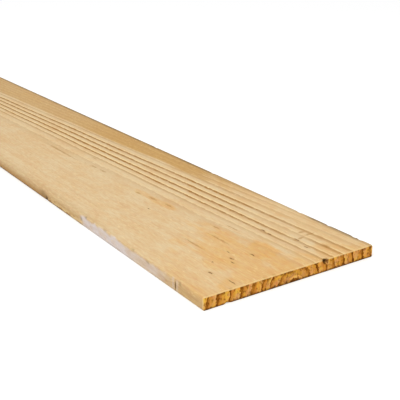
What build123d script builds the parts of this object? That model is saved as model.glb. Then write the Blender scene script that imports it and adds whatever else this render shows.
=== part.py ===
from build123d import *

import os

# Planed pine board: one piece of softwood, sawn through the heart of the log.
# It lies flat on its wide face. The origin is the centre of the bottom face, with +X along
# the grain, +Y across the width and +Z up through the thickness. Sizes are in millimetres.

# A 3/4 x 12 inch board in the 6 foot stock length.
LENGTH = 1828.8
WIDTH = 304.8
THICKNESS = 19.05

# The planer eases the four long arrises. The two sawn ends stay square.
EASED_EDGE_RADIUS = 1.6


def board_section():
    """Cross-section of the board, standing on the XY plane and facing +X."""
    end_plane = Plane(origin=(0, 0, THICKNESS / 2), x_dir=(0, 1, 0), z_dir=(1, 0, 0))
    return end_plane * RectangleRounded(WIDTH, THICKNESS, EASED_EDGE_RADIUS)


def pine_board():
    """The section run half the stock length each way along the grain."""
    return extrude(board_section(), amount=LENGTH / 2, both=True)


os.makedirs("parts", exist_ok=True)
export_step(pine_board(), "parts/pine_board.step")
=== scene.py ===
"""Looks for the pine board: planed softwood whose growth rings run through every face.

One field of growth rings, worked out from the line of the pith, drives the colour and the raised
grain of all six faces, so the lines on the top meet the bands on the sawn ends.
Metres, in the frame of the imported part: +X along the grain to the near end, +Y across, +Z up.
"""

import math

import bpy
import numpy as np
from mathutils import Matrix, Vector


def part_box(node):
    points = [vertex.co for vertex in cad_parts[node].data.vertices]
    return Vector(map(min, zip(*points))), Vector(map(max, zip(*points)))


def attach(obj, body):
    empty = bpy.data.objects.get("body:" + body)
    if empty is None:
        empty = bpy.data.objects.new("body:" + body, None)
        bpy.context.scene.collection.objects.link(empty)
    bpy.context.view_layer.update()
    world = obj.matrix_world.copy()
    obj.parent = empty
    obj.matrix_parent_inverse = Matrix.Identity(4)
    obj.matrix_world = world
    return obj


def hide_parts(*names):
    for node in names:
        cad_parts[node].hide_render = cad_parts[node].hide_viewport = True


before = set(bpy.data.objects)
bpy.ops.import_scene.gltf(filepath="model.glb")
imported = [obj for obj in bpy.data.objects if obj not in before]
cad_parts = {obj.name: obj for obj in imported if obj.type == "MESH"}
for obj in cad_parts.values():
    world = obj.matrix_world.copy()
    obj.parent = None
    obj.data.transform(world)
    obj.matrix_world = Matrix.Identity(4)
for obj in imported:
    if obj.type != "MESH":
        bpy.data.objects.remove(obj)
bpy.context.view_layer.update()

MM = 0.001
NODE = "pine_board"
low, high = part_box(NODE)
LENGTH, WIDTH, THICKNESS = high - low
NEAR_END = high.x
LEFT_EDGE = low.y

# The radius of the eased long arrises, as in the solid, and the width of the broken arrises of the sawn ends
EASED_EDGE = 1.6 * MM
SAWN_ARRIS = 0.5 * MM

# How finely the skin of the board is divided
COLUMNS = 136
ARC_STEPS = 3
EDGE_STEPS = 6
STATIONS = 290
STATION_CROWDING = 1.4

# Where the faces lie on the map: the top, right edge, bottom and left edge, then the two sawn ends
MAP_STRIPS = ((0.47, 0.995), (0.105, 0.14), (0.15, 0.46), (0.06, 0.095))
MAP_END_STRIP = (0.005, 0.05)
MAP_GAP = 0.004

# Growth rings, by the outer edge of each year's dark latewood, measured from the pith
RING_RADII = np.array([0, 14, 31, 46.5, 61, 78, 97, 115, 134.5, 150.5]) * MM
OUTER_RING_WIDTH = 16 * MM
# The pith at the near end, from the middle of the board and from its bottom face
PITH_ACROSS = 0.003 * WIDTH
PITH_HEIGHT = -6.5 * MM
# How far the pith moves across, and how much the rings shrink, for each metre away from the near end
PITH_DRIFT = -0.030
LOG_TAPER = 0.149
# How deep the softest wood sinks, and in which part of each year's growth it lies
RAISED_GRAIN = 0.3 * MM
SOFTEST_IN_YEAR = 0.35

# Cells across the table of random values behind the smooth noise
NOISE_CELLS = 64

# How strongly each year's line stands out on the planed top, from the pith outwards
LINE_YEARS = (1.8, 2.8, 3.8, 4.8, 5.8, 6.8, 7.8, 8.8)
LINE_STRENGTH = (0.15, 0.35, 1.0, 1.1, 0.95, 1.0, 0.35, 0.3)

# Marks on the board, in board widths: along from the near end, across from the left edge
EDGE_CRACK_ALONG = 0.222
ARRIS_NOTCH_ALONG = 1.64
END_CHIP_ACROSS = 0.693
END_BREAK_ACROSS = 0.125
# Stretch of the left edge with a painted highlight, along in board widths
EDGE_HIGHLIGHT_STRETCH = (0.23, 1.18)
# Stretch of the far arris where its darkening, partly dirt and partly painted shade, is strongest
FAR_ARRIS_DARK = (0.09, 0.46)
# How far the darkening, partly dirt and partly painted shade, reaches from the far arris over the top and
# down the edge, and up from the lower left arris
FAR_DARKENING_ON_TOP = 11 * MM
FAR_DARKENING_DOWN = 2 * MM
LOWER_DARKENING_UP = 5 * MM
# How far the upper arris of the near end is frayed inwards and down, and between which distances it fades
FRAYED_INWARDS = 0.8 * MM
FRAYED_DOWN = 1.1 * MM
FRAYED_REACH = (3 * MM, 0.3 * MM)
# Nicks in the upper left arris: along, and height in board thicknesses
ARRIS_NICKS = ((1.17, 0.6), (1.12, 1.0), (0.90, 1.0), (0.61, 1.0), (0.465, 0.8), (0.185, 0.85))
# Nicks in the upper far arris: along
FAR_NICKS = (0.085, 0.125, 0.31, 0.54, 1.36, 2.05)

# The tan strip by the far edge: where it begins across the board, at one place along it, and how it widens
TAN_BAND_ALONG = 1.6
TAN_BAND_ACROSS = 0.862
TAN_BAND_WIDENING = 0.042

# Resin-yellow patches on the top: strength, middle and reach along and across, and the seed of their rim
AMBER_PATCHES = (
    (0.50, (0.30, 0.36), (0.36, 0.18), 11), (0.62, (0.26, 0.50), (0.12, 0.08), 13),
    (0.40, (1.02, 0.455), (0.09, 0.03), 15), (0.35, (1.22, 0.44), (0.16, 0.025), 17),
    (0.50, (0.0, 0.55), (0.16, 0.6), 19), (0.22, (0.1, 0.1), (0.34, 0.2), 23),
    (0.20, (0.45, 0.95), (0.7, 0.14), 25),
)

# Small dark specks of resin and bruising on the top: along, across, then half length and half width in mm
SPECKS = (
    (0.183, 0.164, 5.0, 1.8), (0.233, 0.439, 5.0, 1.7), (0.253, 0.333, 5.2, 1.6), (0.217, 0.311, 3.6, 1.2),
    (0.324, 0.364, 4.2, 1.3), (0.272, 0.236, 2.6, 1.1), (0.444, 0.671, 6.0, 1.8), (0.386, 0.667, 5.0, 1.5),
    (0.161, 0.713, 4.8, 1.5), (0.255, 0.735, 7.0, 1.6), (0.055, 0.187, 9.0, 1.4), (1.040, 0.344, 3.5, 1.2),
)
# Short marks across the grain and a smudge at a small knot, and long faint resin streaks, in the same terms
CROSS_MARKS = (
    (0.275, 0.833, 3.2, 11.0), (0.318, 0.815, 3.2, 8.0), (0.262, 0.765, 3.0, 8.0), (0.117, 0.800, 12.0, 5.0),
)
STREAKS = (
    (1.780, 0.445, 14, 3.2), (1.890, 0.438, 14, 2.6), (1.295, 0.424, 10, 2.8), (1.170, 0.446, 16, 3.2),
    (0.480, 0.418, 34, 2.0), (0.500, 0.283, 36, 2.0), (2.350, 0.410, 90, 2.8), (2.060, 0.524, 12, 2.0),
    (1.020, 0.462, 14, 2.6), (0.560, 0.560, 20, 2.0), (0.610, 0.494, 12, 1.8),
)

# Camera, found by fitting the outline of the board in the photograph
LENS_MM = 68.84
SENSOR_MM = 36.0
CAMERA_PITCH = math.radians(20.156)
CAMERA_YAW = math.radians(33.986)
CAMERA_PLACE = Vector((NEAR_END + 2.3703 * WIDTH, LEFT_EDGE - 1.6153 * WIDTH, 1.5535 * WIDTH))


def smoothstep(start, end, value):
    """0 before start, 1 after end, and an even curve between."""
    t = np.clip((value - start) / (end - start), 0, 1)
    return t * t * (3 - 2 * t)


def value_noise(a, b, seed):
    """Smooth noise from -1 to 1, with features about one unit across."""
    table = np.random.default_rng(seed).uniform(-1, 1, (NOISE_CELLS, NOISE_CELLS))
    cell_a, cell_b = np.floor(a).astype(int), np.floor(b).astype(int)
    blend_a, blend_b = smoothstep(0, 1, a - cell_a), smoothstep(0, 1, b - cell_b)

    def corner(step_a, step_b):
        return table[(cell_a + step_a) % NOISE_CELLS, (cell_b + step_b) % NOISE_CELLS]

    near = corner(0, 0) * (1 - blend_a) + corner(1, 0) * blend_a
    far = corner(0, 1) * (1 - blend_a) + corner(1, 1) * blend_a
    return near * (1 - blend_b) + far * blend_b


def board_places(points):
    """Along from the near end and across from the left edge, in board widths."""
    return (NEAR_END - points[:, 0]) / WIDTH, (points[:, 1] - LEFT_EDGE) / WIDTH


def ring_distance(points):
    """Distance from the pith, as it is at the near end of the log, for each point."""
    along = NEAR_END - points[:, 0]
    across = points[:, 1] - PITH_ACROSS - PITH_DRIFT * along
    wander = 1.3 * MM * value_noise(along / 0.22, across / 0.05, seed=3)
    wander += 0.5 * MM * value_noise(along / 0.06, across / 0.02, seed=4)
    radius = np.hypot(across, points[:, 2] - PITH_HEIGHT)
    return radius * np.exp(LOG_TAPER * along) + wander


def ring_phase(points):
    """Years of growth since the pith. The whole numbers are the outer edges of the latewood."""
    distance = ring_distance(points)
    years = np.interp(distance, RING_RADII, np.arange(len(RING_RADII)))
    return years + np.maximum(distance - RING_RADII[-1], 0) / OUTER_RING_WIDTH


def ring_strength(points):
    """How strongly the rings stand out on the planed faces: most between the pith and the far edge."""
    along, across = board_places(points)
    years = ring_phase(points)
    right_side = smoothstep(-0.02, 0.04, (points[:, 1] - PITH_ACROSS) / WIDTH - PITH_DRIFT * along)
    strength = right_side * np.interp(years, LINE_YEARS, LINE_STRENGTH) + (1 - right_side) * 0.05
    # Fainter towards the near end, and one year's line breaks off for a stretch there
    strength *= 0.48 + 0.48 * smoothstep(0.3, 1.3, along)
    broken_line = smoothstep(5.3, 5.6, years) * smoothstep(6.2, 6.0, years)
    strength *= 1 - 0.6 * broken_line * smoothstep(0.16, 0.3, along) * smoothstep(0.85, 0.65, along)
    strength *= 1 + 0.25 * value_noise(along / 0.5, across / 0.06, seed=5)
    strength *= 1 - 0.75 * tan_band(points)
    # Even lines all over the underside
    underside = smoothstep(0.5, 0.2, points[:, 2] / THICKNESS)
    return strength + underside * (0.4 - strength)


def on_top(points):
    """1 on the top of the board and 0 on the lower part of its edges and below."""
    return smoothstep(0.4, 0.9, points[:, 2] / THICKNESS)


def patch(points, centre, reach, seed):
    """A soft stain with a ragged edge on the top of the board, from 0 outside to 1 inside."""
    along, across = board_places(points)
    from_centre = np.hypot((along - centre[0]) / reach[0], (across - centre[1]) / reach[1])
    from_centre += 0.4 * value_noise(along / 0.12, across / 0.07, seed)
    from_centre += 0.15 * value_noise(along / 0.04, across / 0.02, seed + 1)
    return smoothstep(1.2, 0.65, from_centre) * on_top(points)


def amber_stain(points):
    """Resin-yellow wood near the sawn end, along the pith and beside the far edge."""
    along, across = board_places(points)
    stains = [strength * patch(points, *place) for strength, *place in AMBER_PATCHES]
    return np.max(stains, axis=0) * (1 + 0.3 * value_noise(along / 0.09, across / 0.018, seed=9))


def tan_band(points):
    """The darker, smoother strip along the far edge, which fades out towards the near end."""
    along, across = board_places(points)
    edge = TAN_BAND_ACROSS + 0.012 * value_noise(along / 0.35, across / 0.3, seed=21)
    edge -= TAN_BAND_WIDENING * (along - TAN_BAND_ALONG)
    fades = smoothstep(0.9, 1.5, along + 0.12 * value_noise(along / 0.1, across / 0.03, seed=22))
    fades *= 1 - 0.3 * smoothstep(2.3, 3.4, along)
    return smoothstep(edge - 0.018, edge + 0.012, across) * fades * on_top(points)


def edge_tone(points):
    """How far the long edges are darkened: most at the bottom, fading out over the top arris."""
    along, across = board_places(points)
    from_edge = np.minimum(across, 1 - across)
    on_side = smoothstep(0.006, 0.001, from_edge)
    depth = 1 - points[:, 2] / THICKNESS
    side_tone = 0.35 + 0.65 * smoothstep(0.0, 0.7, depth)
    rim_tone = 0.35 * smoothstep(0.06, 0.006, from_edge) * smoothstep(0.6, 1.2, along) * (depth < 0.5)
    return on_side * side_tone + (1 - on_side) * rim_tone


def edge_highlight(points):
    """A painted highlight on a stretch of the left edge, palest at its far part, with a pale lip of painted
    highlight each side of the crack.
    """
    along, across = board_places(points)
    height = points[:, 2] / THICKNESS
    ragged = along + 0.04 * value_noise(along / 0.03, height / 0.35, seed=31)
    start, end = EDGE_HIGHLIGHT_STRETCH
    stretch = smoothstep(start - 0.03, start + 0.2, ragged) * smoothstep(end + 0.03, end - 0.05, ragged)
    palest = 0.55 + 0.4 * smoothstep(0.45, 0.75, along)
    blotches = 1 + 0.3 * value_noise(along / 0.05, height / 0.5, seed=32)
    rim = 0.93 + 0.14 * value_noise(along / 0.035, height, seed=33)
    rim += 0.08 * value_noise(along / 0.012, height, seed=34)
    lip = smoothstep(0.012, 0.004, np.abs(np.abs(along - EDGE_CRACK_ALONG) - 0.016))
    pale = np.maximum(stretch * palest * blotches, 0.4 * lip)
    return pale * smoothstep(rim + 0.1, rim - 0.15, height) * smoothstep(0.008, 0.002, across)


def arris_darkening(points):
    """Darkening along the lower left arris and along the far top arris, partly dirt and partly painted shade.
    """
    along, across = board_places(points)
    height = points[:, 2]
    patchy = 0.65 + 0.35 * value_noise(along / 0.07, across, seed=41)
    lower = smoothstep(LOWER_DARKENING_UP, 0.1 * LOWER_DARKENING_UP, height) * smoothstep(0.02, 0.005, across)
    lower *= 0.25 + 0.4 * smoothstep(1.05, 1.3, along)
    from_far = np.hypot((1 - across) * WIDTH / FAR_DARKENING_ON_TOP, (THICKNESS - height) / FAR_DARKENING_DOWN)
    start, end = FAR_ARRIS_DARK
    darkest = smoothstep(start - 0.04, start + 0.02, along) * smoothstep(end + 0.06, end - 0.04, along)
    darkest = 0.3 + 0.5 * np.maximum(darkest, 0.7 * smoothstep(1.2, 1.5, along))
    upper = darkest * smoothstep(1.0, 0.15, from_far)
    return lower * patchy + upper * np.sqrt(patchy)


def near_mark(points, centre, reach):
    """1 at the middle of a mark and 0 outside its reach, both given as (x, y, z)."""
    distance = np.linalg.norm((points - np.array(centre)) / np.array(reach), axis=1)
    return smoothstep(1.0, 0.15, distance)


def carved_marks():
    """Damage as (middle, reach, push, darkness): the chip, breaks, crack and nicks that the edges carry. The
    darkness is partly dirt and partly painted shade in their hollows.
    """
    left, near, top = LEFT_EDGE, NEAR_END, THICKNESS
    chip_y = left + END_CHIP_ACROSS * WIDTH
    break_y = left + END_BREAK_ACROSS * WIDTH
    notch_x = near - ARRIS_NOTCH_ALONG * WIDTH
    crack_x = near - EDGE_CRACK_ALONG * WIDTH
    marks = [
        # A chip in the upper arris of the sawn end, and a small break in the lower one
        ((near, chip_y, top - 1.5 * MM), (6 * MM, 8 * MM, 7 * MM), (-4 * MM, 0, -1.5 * MM), 1.0),
        ((near, break_y, 0), (3 * MM, 5 * MM, 3 * MM), (-1 * MM, 0, 1.5 * MM), 0.2),
        # A notch low in the left edge, and the stain beside it
        ((notch_x, left, 0.15 * top), (8 * MM, 5 * MM, 9 * MM), (0, 0.8 * MM, 0), 0.9),
        ((notch_x - 14 * MM, left, 0.4 * top), (20 * MM, 5 * MM, 12 * MM), (0, 0, 0), 0.3),
        # A crack across the left edge
        ((crack_x, left, 0.42 * top), (2 * MM, 4 * MM, 0.55 * top), (0, 1.2 * MM, 0), 1.0),
    ]
    for along, height in ARRIS_NICKS:
        middle = (near - along * WIDTH, left, height * top)
        marks.append((middle, (5 * MM, 4 * MM, 4 * MM), (0, 0.7 * MM, -0.5 * MM), 0.42))
    for along in FAR_NICKS:
        middle = (near - along * WIDTH, left + WIDTH, top)
        marks.append((middle, (7 * MM, 4 * MM, 3 * MM), (0, -0.8 * MM, -0.6 * MM), 0.6))
    return marks


# The mesh of the board


def edge_profile():
    """The +Y edge from the top flat to the bottom flat, as (across, up, normal across, normal up)."""
    flat_end = WIDTH / 2 - EASED_EDGE
    rows = []
    for centre_up, first, last in ((THICKNESS - EASED_EDGE, 90, 0), (EASED_EDGE, 0, -90)):
        for degrees in np.linspace(first, last, ARC_STEPS + 1):
            turn = math.radians(degrees)
            normal = (math.cos(turn), math.sin(turn))
            rows.append((flat_end + EASED_EDGE * normal[0], centre_up + EASED_EDGE * normal[1], *normal))
    upper, lower = rows[: ARC_STEPS + 1], rows[ARC_STEPS + 1 :]
    heights = np.linspace(upper[-1][1], lower[0][1], EDGE_STEPS + 1)[1:-1]
    middle = [(WIDTH / 2, height, 1.0, 0.0) for height in heights]
    return np.array(upper + middle + lower)


def section_loop(edge):
    """The eased section as a closed loop: along the top to +Y, down, back along the bottom, up."""
    flat = np.linspace(-1, 1, COLUMNS + 1) * (WIDTH / 2 - EASED_EDGE)
    level = np.zeros_like(flat)
    top = np.stack([flat, level + THICKNESS, level, level + 1], 1)
    bottom = np.stack([flat[::-1], level, level, level - 1], 1)
    right = edge[1:-1]
    left = edge[-2:0:-1] * (-1, 1, -1, 1)
    return np.concatenate([top, right, bottom, left])


def station_places():
    """Distances of the cross-sections from the near end, closest together there and at the marks."""
    steps = np.linspace(0, 1, STATIONS) ** STATION_CROWDING
    inner = SAWN_ARRIS + steps * (LENGTH - 2 * SAWN_ARRIS)
    crack = EDGE_CRACK_ALONG * WIDTH + np.array([-1.8, -0.9, 0, 0.9, 1.8]) * MM
    notch = ARRIS_NOTCH_ALONG * WIDTH + np.array([-4, -2, 0, 2, 4]) * MM
    return np.unique(np.concatenate([[0], inner, crack, notch, [LENGTH]]))


def skin_map(loop, along):
    """Map places of the swept skin's faces: a strip for each of the top, right edge, bottom and left edge."""
    steps = np.linalg.norm(np.diff(np.vstack([loop, loop[:1]])[:, :2], axis=0), axis=1)
    girth = np.concatenate([[0], np.cumsum(steps)])
    side = (len(loop) - 2 * COLUMNS) // 2
    corners = np.cumsum([0, COLUMNS, side, COLUMNS, side])
    lower, upper = np.empty(len(loop)), np.empty(len(loop))
    for (low_v, high_v), first, last in zip(MAP_STRIPS, corners[:-1], corners[1:]):
        share = (girth[first : last + 1] - girth[first]) / (girth[last] - girth[first])
        strip = low_v + (high_v - low_v) * share
        lower[first:last], upper[first:last] = strip[:-1], strip[1:]
    u = MAP_GAP + (1 - 2 * MAP_GAP) * along / LENGTH
    places = np.empty((len(along) - 1, len(loop), 4, 2))
    places[:, :, :2, 0] = u[:-1, None, None]
    places[:, :, 2:, 0] = u[1:, None, None]
    places[:, :, [0, 3], 1] = lower[:, None]
    places[:, :, [1, 2], 1] = upper[:, None]
    return places.reshape(-1, 2)


def end_map(points, far):
    """Map places of points on a sawn end: the two ends share the lowest strip."""
    across = (points[:, 1] - LEFT_EDGE) / WIDTH
    u = MAP_GAP + (0.5 - 2 * MAP_GAP) * across + 0.5 * far
    low_v, high_v = MAP_END_STRIP
    return np.stack([u, low_v + (high_v - low_v) * points[:, 2] / THICKNESS], 1)


def swept_skin(loop, along):
    """Points, normals and faces of the section run through the stations, drawn in a little at both ends."""
    count = len(loop)
    inset = np.zeros(len(along))
    inset[[0, -1]] = SAWN_ARRIS
    points = np.empty((len(along), count, 3))
    points[:, :, 0] = NEAR_END - along[:, None]
    points[:, :, 1:] = loop[None, :, :2] - inset[:, None, None] * loop[None, :, 2:]
    normals = np.zeros_like(points)
    normals[:, :, 1:] = loop[None, :, 2:]
    station, around = np.meshgrid(np.arange(len(along) - 1), np.arange(count), indexing="ij")
    here, beyond = station * count, (station + 1) * count
    following = (around + 1) % count
    faces = np.stack([here + around, here + following, beyond + following, beyond + around], -1)
    return points.reshape(-1, 3), normals.reshape(-1, 3), faces.reshape(-1, 4).tolist()


def end_cap(edge, loop, end_x, ring, made, far):
    """New points and faces over a sawn end. The faces join the skin, whose points there start at ring."""
    rows = len(edge) - 1
    inner = np.empty((rows - 1, COLUMNS + 1, 3))
    inner[:, :, 0] = end_x
    inner[:, :, 1] = loop[: COLUMNS + 1, 0]
    inner[:, :, 2] = edge[1:-1, 1][:, None]
    grid = np.empty((rows + 1, COLUMNS + 3), int)
    grid[0, 1:-1] = ring + np.arange(COLUMNS + 1)
    grid[rows, 1:-1] = ring + COLUMNS + rows + np.arange(COLUMNS + 1)[::-1]
    grid[1:rows, 1:-1] = made + np.arange((rows - 1) * (COLUMNS + 1)).reshape(rows - 1, -1)
    grid[:, -1] = ring + COLUMNS + np.arange(rows + 1)
    grid[:, 0] = ring + (2 * COLUMNS + 2 * rows - np.arange(rows + 1)) % len(loop)
    corners = np.stack([grid[:-1, :-1], grid[1:, :-1], grid[1:, 1:], grid[:-1, 1:]], -1)
    if far:
        corners = corners[:, :, ::-1]
    # At the corners of the end two of a face's four points are one, so it has three
    faces = [list(dict.fromkeys(face)) for face in corners.reshape(-1, 4).tolist()]
    return inner.reshape(-1, 3), faces


def board_mesh():
    """Points, normals, faces and map of the board: a swept skin with a grid of faces over each sawn end."""
    edge = edge_profile()
    loop = section_loop(edge)
    along = station_places()
    points, normals, faces = swept_skin(loop, along)
    places = [skin_map(loop, along)]
    for far, station, outward in ((False, 0, 1), (True, len(along) - 1, -1)):
        end_x = NEAR_END - along[station]
        inner, cap = end_cap(edge, loop, end_x, station * len(loop), len(points), far)
        points = np.concatenate([points, inner])
        normals = np.concatenate([normals, np.tile((outward, 0, 0), (len(inner), 1))])
        faces += cap
        places += [end_map(points[face], far) for face in cap]
    return points, normals, faces, np.concatenate(places)


def raised_grain(points, normals):
    """Sinks the soft early wood below the hard latewood, on the planed faces."""
    part_of_year = ring_phase(points) % 1
    early = 0.5 + 0.5 * np.cos(2 * math.pi * (part_of_year - SOFTEST_IN_YEAR))
    depth = RAISED_GRAIN * early * ring_strength(points) * np.abs(normals[:, 2])
    return points - normals * depth[:, None]


def carve(points):
    """Pushes the surface in at each mark, and returns it with how dark the marks leave it, partly dirt and
    partly painted shade.
    """
    moved = points.copy()
    dirt_and_shade = np.zeros(len(points))
    for middle, reach, push, darkness in carved_marks():
        nearness = near_mark(points, middle, reach)
        moved += nearness[:, None] * np.array(push)
        dirt_and_shade = np.maximum(dirt_and_shade, darkness * nearness)
    return moved, dirt_and_shade


def torn_arris(points):
    """Frays the upper arris of the sawn end a little, where the saw left it."""
    along, across = board_places(points)
    near_end = smoothstep(*FRAYED_REACH, along * WIDTH)
    near_top = smoothstep(*FRAYED_REACH, THICKNESS - points[:, 2])
    fray = 0.5 + 0.3 * value_noise(across / 0.03, along, seed=51)
    fray += 0.3 * value_noise(across / 0.011, along, seed=52)
    frayed = near_end * near_top * np.clip(fray, 0, 1)
    return points - np.stack([FRAYED_INWARDS * frayed, 0 * frayed, FRAYED_DOWN * frayed], 1)


def make_board():
    """The board as one closed mesh, with the fields that its material reads stored on its points."""
    points, normals, faces, places = board_mesh()
    carved, dirt_and_shade = carve(torn_arris(raised_grain(points, normals)))
    fields = {
        "ring_phase": ring_phase(points),
        "ring_strength": ring_strength(points),
        "amber_stain": amber_stain(points),
        "tan_band": tan_band(points),
        "edge_tone": edge_tone(points),
        "edge_highlight": edge_highlight(points),
        "dirt_and_shade": np.maximum(dirt_and_shade, arris_darkening(points)),
    }
    mesh = bpy.data.meshes.new("board")
    mesh.from_pydata(carved.tolist(), [], faces)
    mesh.uv_layers.new(name="OFBake").uv.foreach_set("vector", places.astype(np.float32).ravel())
    mesh.shade_smooth()
    for name, values in fields.items():
        mesh.attributes.new(name, "FLOAT", "POINT").data.foreach_set("value", values.astype(np.float32))
    board = bpy.data.objects.new("board", mesh)
    bpy.context.scene.collection.objects.link(board)
    return board


# Node helpers

NOISE_ROUGHNESS = 0.6
WOBBLE_SCALE = 180.0
MARK_DEPTH = 4 * MM


def srgb(red, green, blue):
    """A colour as seen on screen, from 0 to 255, as linear light for the shader."""
    def linear(level):
        level /= 255
        return level / 12.92 if level <= 0.04045 else ((level + 0.055) / 1.055) ** 2.4
    return (linear(red), linear(green), linear(blue), 1.0)


class Nodes:
    """Short calls that add nodes to one tree and link them."""

    def __init__(self, tree):
        self.tree = tree

    def add(self, kind, inputs=(), **settings):
        """A new node with these settings, and its inputs set to values or linked to sockets."""
        node = self.tree.nodes.new("ShaderNode" + kind)
        for name, value in settings.items():
            setattr(node, name, value)
        for socket, value in dict(inputs).items():
            if isinstance(value, bpy.types.NodeSocket):
                self.tree.links.new(value, node.inputs[socket])
            else:
                node.inputs[socket].default_value = value
        return node

    def field(self, name):
        """A float stored on the mesh."""
        return self.add("Attribute", attribute_name=name).outputs["Fac"]

    def math(self, operation, first, second=0.0, third=0.0, clamp=False):
        sockets = {0: first, 1: second, 2: third}
        return self.add("Math", sockets, operation=operation, use_clamp=clamp).outputs[0]

    def times(self, *factors):
        product = factors[0]
        for factor in factors[1:]:
            product = self.math("MULTIPLY", product, factor)
        return product

    def mix(self, factor, first, second, blend="MIX"):
        """The first colour at factor 0, and the second blended over it at factor 1."""
        sockets = {0: factor, 6: first, 7: second}
        return self.add("Mix", sockets, data_type="RGBA", blend_type=blend).outputs[2]

    def overlay(self, share, colour, noise, contrast):
        """A colour lightened and darkened by a noise."""
        return self.mix(share, colour, self.ramp(noise, *contrast), "OVERLAY")

    def ramp(self, value, *stops):
        """A curve of straight runs through (place, height) stops."""
        node = self.add("ValToRGB", {0: value})
        elements = node.color_ramp.elements
        while len(elements) < len(stops):
            elements.new(1.0)
        for element, (place, height) in zip(elements, stops):
            element.position = place
            element.color = (height, height, height, 1)
        return node.outputs[0]

    def span(self, value, start, end, low=0.0, high=1.0):
        """Smoothly low at start and high at end."""
        sockets = {0: value, 1: start, 2: end, 3: low, 4: high}
        return self.add("MapRange", sockets, interpolation_type="SMOOTHSTEP").outputs[0]

    def marks(self, place, marks):
        """Distance to the nearest of some marks on the top, where 1 is a mark's own rim."""
        nearest = None
        for along, across, half_length, half_width in marks:
            scale = Vector((1 / (half_length * MM), 1 / (half_width * MM), 1 / MARK_DEPTH))
            middle = Vector((NEAR_END - along * WIDTH, LEFT_EDGE + across * WIDTH, THICKNESS))
            shift = tuple(-m * k for m, k in zip(middle, scale))
            scaled = self.add("VectorMath", {0: place, 1: scale, 2: shift}, operation="MULTIPLY_ADD")
            distance = self.add("VectorMath", {0: scaled.outputs[0]}, operation="LENGTH").outputs["Value"]
            nearest = self.math("MINIMUM", nearest, distance) if nearest else distance
        return nearest

    def wobble(self, place, amount):
        """A small push in no fixed direction, which makes the rims of marks ragged."""
        noise = self.add("TexNoise", {"Vector": place, "Scale": WOBBLE_SCALE, "Detail": 2.0}).outputs["Color"]
        centred = self.add("VectorMath", {0: noise, 1: (-0.5, -0.5, -0.5)}, operation="ADD").outputs[0]
        return self.add("VectorMath", {0: centred, 1: (amount * 2,) * 3}, operation="MULTIPLY").outputs[0]

    def stretched_noise(self, place, sizes, detail=3.0):
        """Noise from 0 to 1 with features of these sizes along each axis."""
        scale = tuple(1 / size for size in sizes)
        stretched = self.add("Mapping", {"Vector": place, "Scale": scale}, vector_type="POINT").outputs[0]
        sockets = {"Vector": stretched, "Scale": 1.0, "Detail": detail, "Roughness": NOISE_ROUGHNESS}
        return self.add("TexNoise", sockets).outputs[0]

    def grain_noise(self, place, along, across, detail=3.0):
        """Noise with features of these lengths along and across the grain."""
        return self.stretched_noise(place, (along, across, across), detail)


# Material

PALE = srgb(232, 204, 159)
HONEY = srgb(228, 192, 142)
AMBER = srgb(232, 174, 92)
TAN = srgb(209, 165, 101)
LATEWOOD = srgb(166, 113, 44)
CREAM = srgb(255, 224, 166)
END_GOLD = srgb(250, 186, 74)
END_PINK = srgb(238, 172, 102)
END_ORANGE = srgb(214, 140, 44)
END_BROWN = srgb(120, 62, 0)
# Dark foot of the sawn end, partly dirt and partly painted shade
END_FOOT = srgb(88, 52, 8)
# Painted highlight along the upper arris of the sawn end, on the end and on the top
END_ARRIS_HIGHLIGHT = srgb(255, 220, 150)
END_ARCH = srgb(255, 192, 100)
EDGE_TAN = srgb(198, 161, 110)
# Whitish colour of the painted highlight on the left edge
HIGHLIGHT_WHITE = srgb(222, 208, 200)
RESIN = srgb(108, 58, 2)
STREAK = srgb(166, 112, 38)
# Dark brown of the marks and arrises, partly dirt and partly painted shade
DIRT_AND_SHADE = srgb(52, 30, 8)

# How much a noise lightens and darkens the wood under it, as (place, height) stops
FIBRE_CONTRAST = ((0.3, 0.25), (0.7, 0.75))
FLECK_CONTRAST = ((0.3, 0.2), (0.7, 0.8))
RING_RAGGEDNESS = 0.28
WOOD_SPECULAR = 0.05


class Grain:
    """The places, noises and growth rings that the planed and the sawn wood share."""

    def __init__(self, n):
        self.place = n.add("TexCoord").outputs["Object"]
        self.lengthwise, _, self.height = n.add("SeparateXYZ", {0: self.place}).outputs
        self.fibres = n.grain_noise(self.place, 0.07, 1.4 * MM)
        self.flecks = n.grain_noise(self.place, 14 * MM, 3.2 * MM, detail=2)
        self.saw_marks = n.stretched_noise(self.place, (20 * MM, 2.2 * MM, 11 * MM))
        ragged = n.math("MULTIPLY_ADD", self.flecks, RING_RAGGEDNESS, -RING_RAGGEDNESS / 2)
        self.ring = n.math("ADD", n.field("ring_phase"), ragged)
        self.year = n.math("FRACT", self.ring)
        year_number = n.math("FLOOR", self.ring)
        self.unlike = n.add("TexWhiteNoise", {"W": year_number}, noise_dimensions="1D").outputs["Value"]


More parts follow.
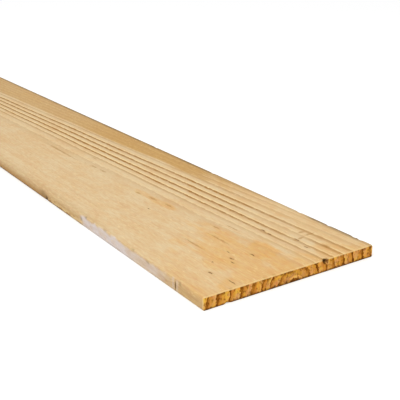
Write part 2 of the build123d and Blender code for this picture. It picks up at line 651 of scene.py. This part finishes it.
def planed_wood(n, grain):
    """Colour of the planed faces: pale wood with its stains, growth lines and fine grain."""
    mottle = n.grain_noise(grain.place, 0.07, 0.035, detail=4)
    colour = n.mix(n.span(mottle, 0.35, 0.7), PALE, HONEY)
    for field, tone in (("amber_stain", AMBER), ("tan_band", TAN), ("edge_tone", EDGE_TAN)):
        colour = n.mix(n.field(field), colour, tone)

    # Each year's pale early wood darkens to latewood, and the next year starts at once
    late = n.ramp(grain.year, (0, 0), (0.56, 0), (0.84, 1), (0.965, 1), (1, 0))
    early = n.ramp(grain.year, (0, 1), (0.09, 1), (0.34, 0))
    beads = n.span(grain.flecks, 0.3, 0.6, 0.65, 1.25)
    strength = n.times(n.field("ring_strength"), beads)
    torn_end = n.span(grain.lengthwise, NEAR_END - 7 * MM, NEAR_END - 1 * MM)
    torn_end = n.times(torn_end, n.span(grain.unlike, 0.5, 0.8, 0, 0.5))
    colour = n.mix(n.times(late, n.math("MAXIMUM", strength, torn_end)), colour, LATEWOOD)
    colour = n.mix(n.times(early, strength, 0.9), colour, CREAM)

    # Painted highlight on the left edge and beside the crack
    colour = n.mix(n.field("edge_highlight"), colour, HIGHLIGHT_WHITE)
    # A painted highlight on the top along the arris of the near end
    arris_highlight = n.span(grain.lengthwise, NEAR_END - 4 * MM, NEAR_END - 0.5 * MM, 0, 0.6)
    colour = n.mix(arris_highlight, colour, END_ARRIS_HIGHLIGHT)

    streaks = n.grain_noise(grain.place, 0.5, 11 * MM, detail=2)
    colour = n.overlay(0.14, colour, grain.fibres, FIBRE_CONTRAST)
    colour = n.overlay(0.20, colour, grain.flecks, FLECK_CONTRAST)
    colour = n.overlay(0.05, colour, streaks, FLECK_CONTRAST)
    pits = n.grain_noise(grain.place, 11 * MM, 2.6 * MM, detail=1)
    colour = n.mix(n.span(pits, 0.66, 0.78, 0, 0.4), colour, EDGE_TAN)
    return n.mix(n.span(pits, 0.34, 0.24, 0, 0.45), colour, CREAM)


def resin_marks(n, place, colour):
    """Lays the resin streaks, the marks across the grain and the dark specks over the planed colour."""
    wavering = n.add("VectorMath", {0: place, 1: n.wobble(place, 2.5 * MM)}, operation="ADD").outputs[0]
    colour = n.mix(n.span(n.marks(wavering, STREAKS), 1.2, 0.2, 0, 0.5), colour, STREAK)
    colour = n.mix(n.span(n.marks(wavering, CROSS_MARKS), 1.2, 0.3, 0, 0.5), colour, STREAK)
    specks = n.marks(wavering, SPECKS)
    colour = n.mix(n.span(specks, 2.6, 0.6, 0, 0.3), colour, TAN)
    return n.mix(n.span(specks, 1.25, 0.3, 0, 0.85), colour, RESIN)


def sawn_wood(n, grain):
    """Colour of the sawn ends: broad golden and orange bands with thin dark lines, no two years alike."""
    place = grain.place
    warp = n.stretched_noise(place, (1, 9 * MM, 9 * MM), detail=2)
    year = n.math("FRACT", n.math("ADD", grain.ring, n.math("MULTIPLY_ADD", warp, 0.5, -0.25)))
    tint = n.stretched_noise(place, (1, 14 * MM, 10 * MM))
    blotches = n.stretched_noise(place, (1, 5 * MM, 6 * MM))

    colour = n.mix(n.span(tint, 0.4, 0.6), END_GOLD, END_PINK)
    band = n.ramp(year, (0, 0.05), (0.3, 0.1), (0.6, 0.7), (0.97, 1), (1, 0.05))
    colour = n.mix(band, colour, END_ORANGE)
    line_start = n.span(grain.unlike, 0, 1, 0.56, 0.76)
    line = n.times(n.span(year, line_start, 0.88), n.span(year, 1.0, 0.96))
    line = n.times(line, n.span(grain.unlike, 0, 1, 0.6, 1.0), n.span(blotches, 0.35, 0.55, 0.6, 1.0))
    colour = n.mix(line, colour, END_BROWN)

    # The heart of the tree: a dark core, a pale arch round it and a brown surround
    heart = n.times(grain.ring, 0.5)
    core = n.ramp(heart, (0.40, 0.8), (0.45, 0), (0.54, 0), (0.58, 0.35), (0.66, 0.25), (0.78, 0))
    arch = n.ramp(heart, (0.40, 0), (0.44, 0.9), (0.53, 0.9), (0.57, 0))
    colour = n.mix(core, colour, END_BROWN)
    colour = n.mix(arch, colour, END_ARCH)

    colour = n.overlay(0.5, colour, grain.saw_marks, FLECK_CONTRAST)
    colour = n.mix(n.span(blotches, 0.5, 0.68, 0, 0.7), colour, END_BROWN)
    return end_rims(n, grain, blotches, colour)


def end_rims(n, grain, blotches, colour):
    """Adds a dark foot along the bottom of the sawn end, partly dirt and partly painted shade, and along its
    top a pale rim of painted highlight with brown blotches of painted shade.
    """
    # A dark foot along the bottom, partly dirt and partly painted shade
    foot_height = n.math("MULTIPLY_ADD", blotches, 8 * MM, -2 * MM)
    foot = n.span(n.math("SUBTRACT", grain.height, foot_height), 2.5 * MM, -1 * MM, 0, 0.75)
    colour = n.mix(foot, colour, END_FOOT)
    rim_height = n.math("MULTIPLY_ADD", grain.saw_marks, 4 * MM, THICKNESS - 4 * MM)
    # A pale rim of painted highlight along the top of the sawn end
    rim = n.span(n.math("SUBTRACT", grain.height, rim_height), 0, 2 * MM, 0, 0.6)
    colour = n.mix(rim, colour, END_ARRIS_HIGHLIGHT)
    # Painted shade in ragged brown blotches just below the upper arris
    shade_below_arris = n.span(n.stretched_noise(grain.place, (1, 8 * MM, 30 * MM), detail=2), 0.5, 0.62, 0, 0.7)
    shade_below_arris = n.times(shade_below_arris, n.span(grain.height, THICKNESS - 6 * MM, THICKNESS - 2.5 * MM))
    return n.mix(shade_below_arris, colour, END_BROWN)


def pine_material():
    """Planed wood on the long faces and sawn wood on the ends, told apart by which way the surface faces."""
    material = bpy.data.materials.new("pine")
    material.use_nodes = True
    tree = material.node_tree
    shader = tree.nodes["Principled BSDF"]
    n = Nodes(tree)
    grain = Grain(n)
    facing = n.add("SeparateXYZ", {0: n.add("NewGeometry").outputs["Normal"]}).outputs[0]
    is_end = n.span(n.math("ABSOLUTE", facing), 0.45, 0.8)

    planed = resin_marks(n, grain.place, planed_wood(n, grain))
    colour = n.mix(is_end, planed, sawn_wood(n, grain))
    # Dark marks and arrises, partly dirt and partly painted shade
    colour = n.mix(n.field("dirt_and_shade"), colour, DIRT_AND_SHADE)
    relief = n.mix(is_end, grain.fibres, grain.saw_marks)
    bump = n.add("Bump", {"Strength": 0.35, "Distance": 0.4 * MM, "Height": relief})
    roughness = n.math("ADD", n.span(grain.fibres, 0.2, 0.8, 0.55, 0.72), n.times(is_end, 0.2))
    tree.links.new(colour, shader.inputs["Base Color"])
    tree.links.new(bump.outputs[0], shader.inputs["Normal"])
    tree.links.new(roughness, shader.inputs["Roughness"])
    shader.inputs["Specular IOR Level"].default_value = WOOD_SPECULAR
    return material


# Stage, light and camera


def seen_directly(n):
    """1 for rays from the camera, from a mirror or through glass, and 0 for light that falls on things."""
    rays = n.add("LightPath").outputs
    seen = n.math("ADD", rays["Is Camera Ray"], rays["Is Glossy Ray"], clamp=True)
    return n.math("ADD", seen, rays["Is Transmission Ray"], clamp=True)


# Lengths in metres, power in watts
FLOOR_REACH = 30.0
FLOOR_GREY = 0.85
# White added where the floor is seen, so that it shows as white round the shadow
FLOOR_GLOW = 0.355
WORLD_LIGHT = 0.72
KEY_PLACE = Vector((1.6, -1.8, 2.6))
KEY_TARGET = Vector((0.4, 0, 0))
KEY_SIZE = 1.6
KEY_POWER = 34.0
CAMERA_REACH = 100.0


def make_floor():
    """A plain pale floor, which takes the shadow of the board."""
    mesh = bpy.data.meshes.new("floor")
    corners = [(-FLOOR_REACH, -FLOOR_REACH, 0), (FLOOR_REACH, -FLOOR_REACH, 0),
               (FLOOR_REACH, FLOOR_REACH, 0), (-FLOOR_REACH, FLOOR_REACH, 0)]
    mesh.from_pydata(corners, [], [(0, 1, 2, 3)])
    floor = bpy.data.objects.new("floor", mesh)
    bpy.context.scene.collection.objects.link(floor)
    material = bpy.data.materials.new("floor")
    material.use_nodes = True
    tree = material.node_tree
    shader = tree.nodes["Principled BSDF"]
    shader.inputs["Base Color"].default_value = (FLOOR_GREY, FLOOR_GREY, FLOOR_GREY, 1)
    shader.inputs["Roughness"].default_value = 1.0
    shader.inputs["Specular IOR Level"].default_value = 0.0
    shader.inputs["Emission Color"].default_value = (1, 1, 1, 1)
    n = Nodes(tree)
    tree.links.new(n.times(seen_directly(n), FLOOR_GLOW), shader.inputs["Emission Strength"])
    mesh.materials.append(material)


def make_world():
    """Even white light from all round, seen as pure white."""
    world = bpy.data.worlds.new("studio")
    bpy.context.scene.world = world
    world.use_nodes = True
    tree = world.node_tree
    background = tree.nodes["Background"]
    background.inputs["Color"].default_value = (1, 1, 1, 1)
    n = Nodes(tree)
    tree.links.new(n.span(seen_directly(n), 0, 1, WORLD_LIGHT, 1.0), background.inputs["Strength"])


def make_key_light():
    """A soft square lamp above the near end, on the left."""
    data = bpy.data.lights.new("key", "AREA")
    data.shape = "SQUARE"
    data.size = KEY_SIZE
    data.energy = KEY_POWER
    lamp = bpy.data.objects.new("key", data)
    bpy.context.scene.collection.objects.link(lamp)
    lamp.location = KEY_PLACE
    lamp.rotation_euler = (KEY_TARGET - KEY_PLACE).to_track_quat("-Z", "Y").to_euler()


def make_camera():
    """The camera at the viewing angle of the photograph."""
    data = bpy.data.cameras.new("camera")
    data.lens = LENS_MM
    data.sensor_width = SENSOR_MM
    data.clip_end = CAMERA_REACH
    camera = bpy.data.objects.new("camera", data)
    bpy.context.scene.collection.objects.link(camera)
    level = math.cos(CAMERA_PITCH)
    forward = Vector((-math.cos(CAMERA_YAW) * level, math.sin(CAMERA_YAW) * level, -math.sin(CAMERA_PITCH)))
    camera.location = CAMERA_PLACE
    camera.rotation_euler = forward.to_track_quat("-Z", "Y").to_euler()
    bpy.context.scene.camera = camera


board = make_board()
board.data.materials.append(pine_material())
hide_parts(NODE)
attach(board, "root")
make_floor()
make_world()
make_key_light()
make_camera()
bpy.context.scene.view_settings.view_transform = "Standard"
